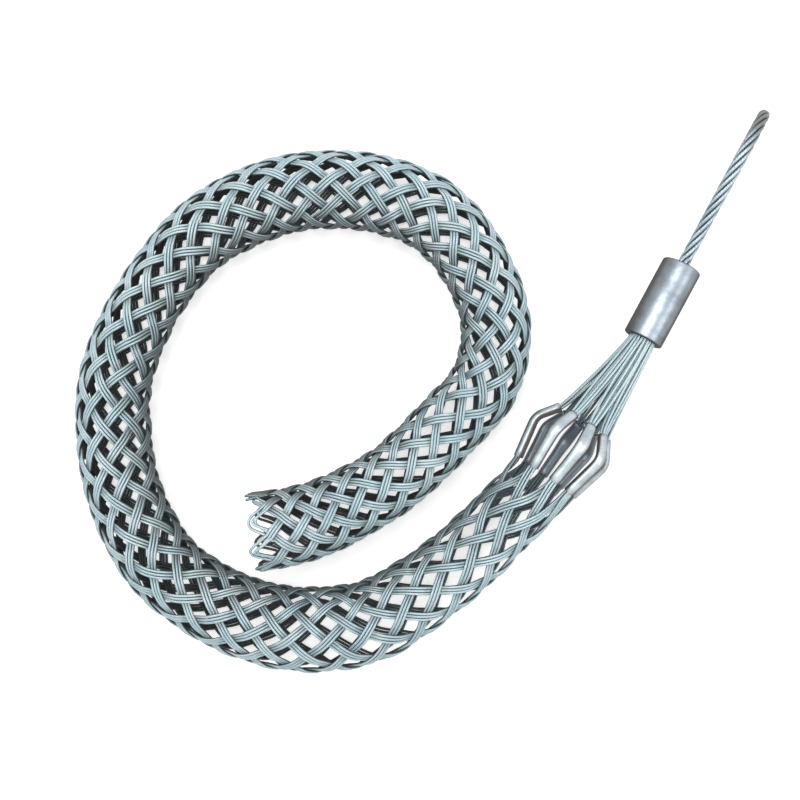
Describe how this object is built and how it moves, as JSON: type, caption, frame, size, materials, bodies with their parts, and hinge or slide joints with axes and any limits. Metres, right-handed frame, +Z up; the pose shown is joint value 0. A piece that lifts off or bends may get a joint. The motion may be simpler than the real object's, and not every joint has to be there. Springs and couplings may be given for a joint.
{
  "type": "cable pulling grip",
  "caption": "Woven wire rope sleeve lying coiled, with bent guard tubes at its front, strands fanning from a pressed ferrule, and a wire rope pulling eye.",
  "frame": {"origin": "middle of the plan, on the floor that the coiled grip lies on", "axes": "+X along the longest side of the plan, from the coil towards the eye; +Z up from the floor"},
  "size_m": [0.4694, 0.3786, 0.0629],
  "materials": {
    "strand": "dull galvanised wire",
    "tube": "bright plated tube",
    "ferrule": "satin, pressed",
    "rope": "galvanised wire rope"
  },
  "bodies": {
    "root": {"woven_sleeve": "strand", "guard_tube_1": "tube", "guard_tube_2": "tube", "guard_tube_3": "tube", "guard_tube_4": "tube", "guard_tube_5": "tube", "guard_tube_6": "tube", "guard_tube_7": "tube", "guard_tube_8": "tube", "strand_bundle_1": "strand", "strand_bundle_2": "strand", "strand_bundle_3": "strand", "strand_bundle_4": "strand", "strand_bundle_5": "strand", "strand_bundle_6": "strand", "strand_bundle_7": "strand", "strand_bundle_8": "strand", "ferrule": "ferrule", "eye_rope": "rope"}
  },
  "joints": []
}
